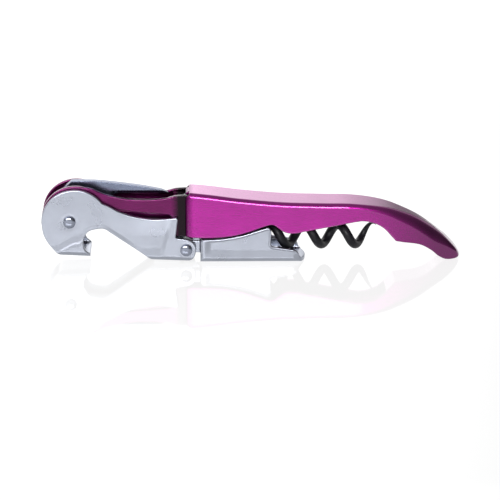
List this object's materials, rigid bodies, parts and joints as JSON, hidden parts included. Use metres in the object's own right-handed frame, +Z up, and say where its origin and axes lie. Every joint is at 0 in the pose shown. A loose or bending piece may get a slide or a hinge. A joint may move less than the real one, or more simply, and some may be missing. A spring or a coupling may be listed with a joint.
{
  "type": "lever corkscrew",
  "caption": "Folding double-hinged lever corkscrew with a coated worm, foil cutter, bottle-opener hook and curved metal handle.",
  "frame": {"origin": "middle of the closed corkscrew's bounding box in X and Y, at its lowest point: the web of the lever's extension, which it rests on", "axes": "+X along the handle towards its tip, +Y across the narrow width, +Z up, from the levers towards the handle's back"},
  "size_m": [0.1291, 0.0138, 0.025],
  "materials": {
    "anodised_magenta": "satin anodised magenta",
    "anodised_plum": "satin anodised dark plum",
    "satin_nickel": "satin nickel plate",
    "polished_steel": "polished",
    "blade_steel": "ground steel",
    "inner_steel": "plain steel",
    "worm_coating": "black non-stick coating on steel wire"
  },
  "bodies": {
    "handle": {"grip_shell": "anodised_magenta", "frame_plate_front": "anodised_plum", "frame_plate_rear": "anodised_plum", "frame_bridge": "anodised_plum", "frame_pin_lower": "inner_steel", "frame_pin_upper": "inner_steel", "shell_screw": "inner_steel", "worm_pin": "inner_steel", "worm_spring": "inner_steel", "spring_rivet": "inner_steel", "blade_spring": "inner_steel", "lever_rivet": "polished_steel", "blade_spacer_front": "inner_steel", "blade_spacer_rear": "inner_steel"},
    "blade": {"cutter_blade": "blade_steel"},
    "worm": {"worm_mount": "inner_steel", "worm_helix": "worm_coating"},
    "lever": {"lever_body": "satin_nickel", "hinge_rivet": "polished_steel", "hinge_sleeve": "inner_steel"},
    "extension": {"lever_extension": "satin_nickel"}
  },
  "joints": [
    {"name": "lever_swing", "type": "hinge", "parent": "handle", "child": "lever", "pos_m": [-0.0559, 0, 0.0134], "axis": [0, 1, 0], "range_deg": [0, 145]},
    {"name": "extension_fold", "type": "hinge", "parent": "lever", "child": "extension", "pos_m": [-0.0203, 0, 0.0042], "axis": [0, 1, 0], "range_deg": [0, 90]},
    {"name": "worm_swing", "type": "hinge", "parent": "handle", "child": "worm", "pos_m": [-0.0135, 0, 0.0115], "axis": [0, 1, 0], "range_deg": [0, 90]},
    {"name": "blade_swing", "type": "hinge", "parent": "handle", "child": "blade", "pos_m": [-0.0559, 0, 0.0134], "axis": [0, 1, 0], "range_deg": [-145, 0]}
  ],
  "couplings": [
    {"joint": "worm_swing", "follows": "lever_swing", "ratio": 0.62}
  ]
}
